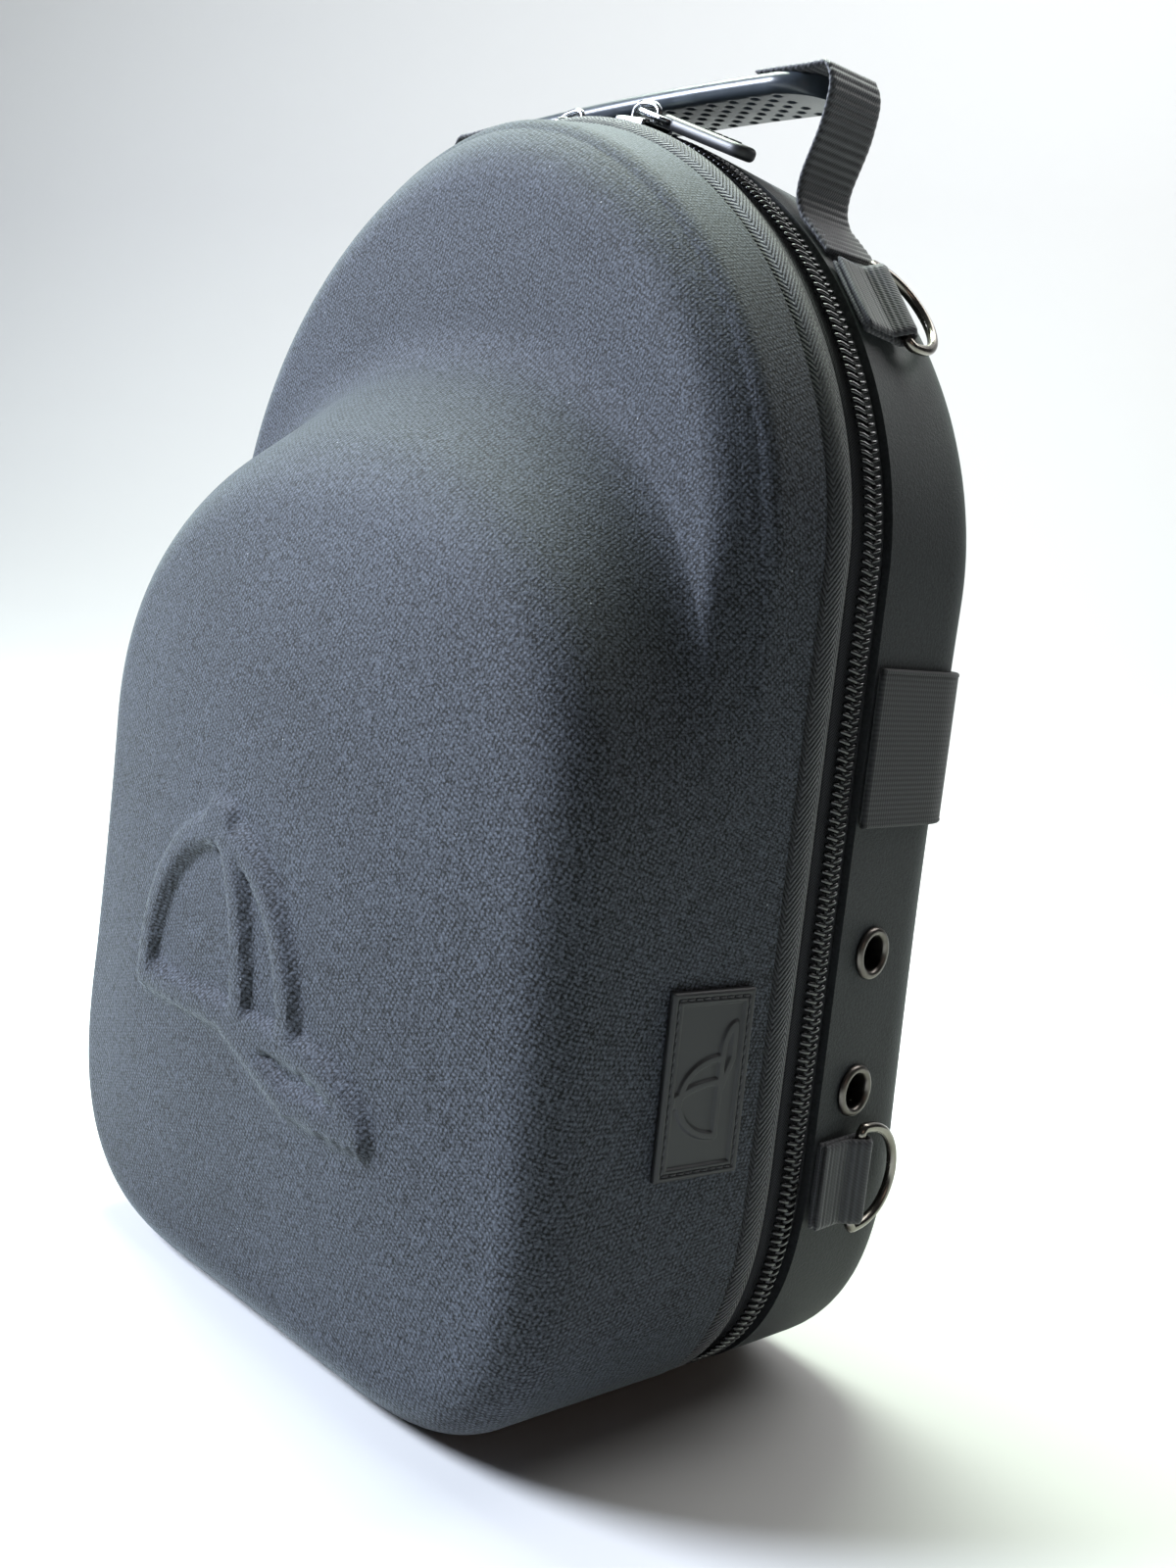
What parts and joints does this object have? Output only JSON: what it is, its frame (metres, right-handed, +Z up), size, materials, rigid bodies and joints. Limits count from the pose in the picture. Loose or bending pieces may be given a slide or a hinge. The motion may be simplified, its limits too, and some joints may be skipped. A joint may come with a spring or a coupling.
{
  "type": "baseball cap carrier case",
  "caption": "Hard moulded zip case shaped like a baseball cap, with a top handle, side D-rings, eyelets and an elastic band round the back.",
  "frame": {"origin": "middle of the bounding box in X and Y, on the plane that the case stands on", "axes": "+Z up, -Y out of the front of the case, +X to the right seen from the front"},
  "size_m": [0.2194, 0.1258, 0.3096],
  "materials": {
    "shell_cloth": "matt dark charcoal jersey knit bonded to moulded foam",
    "piping_tape": "matt black herringbone twill tape over a cord",
    "zip_cloth": "matt black woven tape",
    "zip_coil": "black nylon coil, glossy",
    "zip_metal": "gunmetal plating on die-cast zinc",
    "pull_rubber": "matt black moulded rubber",
    "webbing": "matt black ribbed polyester webbing",
    "grip_rubber": "dark grey moulded rubber, satin, with a perforated underside",
    "ring_metal": "nickel-plated steel wire",
    "elastic": "matt black ribbed elastic webbing",
    "eyelet_metal": "black-plated brass eyelet, satin",
    "label_rubber": "dark grey moulded rubber, satin, bare"
  },
  "bodies": {
    "case": {"front_shell": "shell_cloth", "back_shell": "shell_cloth", "piping": "piping_tape", "zip_tape": "zip_cloth", "zip_chain": "zip_coil", "hinge_strip": "zip_cloth", "handle_grip": "grip_rubber", "elastic_band": "elastic", "side_label": "label_rubber", "slider_left": "zip_metal", "handle_strap_left": "webbing", "ring_tab_upper_left": "webbing", "eyelet_upper_left": "eyelet_metal", "ring_tab_lower_left": "webbing", "eyelet_lower_left": "eyelet_metal", "slider_right": "zip_metal", "handle_strap_right": "webbing", "ring_tab_upper_right": "webbing", "eyelet_upper_right": "eyelet_metal", "ring_tab_lower_right": "webbing", "eyelet_lower_right": "eyelet_metal"},
    "pull_left": {"pull_link_left": "zip_metal", "pull_tab_left": "pull_rubber"},
    "pull_right": {"pull_link_right": "zip_metal", "pull_tab_right": "pull_rubber"},
    "d_ring_lower_left": {"ring_lower_left": "ring_metal"},
    "d_ring_lower_right": {"ring_lower_right": "ring_metal"},
    "d_ring_upper_left": {"ring_upper_left": "ring_metal"},
    "d_ring_upper_right": {"ring_upper_right": "ring_metal"}
  },
  "joints": [
    {"name": "pull_left_swing", "type": "hinge", "parent": "case", "child": "pull_left", "pos_m": [-0.0094, 0.0161, 0.30281], "axis": [0, 1, 0], "range_deg": [0, 110]},
    {"name": "pull_right_swing", "type": "hinge", "parent": "case", "child": "pull_right", "pos_m": [0.01872, 0.0161, 0.30125], "axis": [0, -1, 0], "range_deg": [0, 110]},
    {"name": "d_ring_lower_left_swing", "type": "hinge", "parent": "case", "child": "d_ring_lower_left", "pos_m": [-0.10671, 0.0358, 0.06], "axis": [0, 0, 1], "range_deg": [0, 150]},
    {"name": "d_ring_lower_right_swing", "type": "hinge", "parent": "case", "child": "d_ring_lower_right", "pos_m": [0.10671, 0.0358, 0.06], "axis": [0, 0, -1], "range_deg": [0, 150]},
    {"name": "d_ring_upper_left_swing", "type": "hinge", "parent": "case", "child": "d_ring_upper_left", "pos_m": [-0.0844, 0.03582, 0.25651], "axis": [0.6144, 0.027, 0.7885], "range_deg": [0, 150]},
    {"name": "d_ring_upper_right_swing", "type": "hinge", "parent": "case", "child": "d_ring_upper_right", "pos_m": [0.0844, 0.03582, 0.25651], "axis": [0.6144, -0.027, -0.7885], "range_deg": [0, 150]}
  ]
}
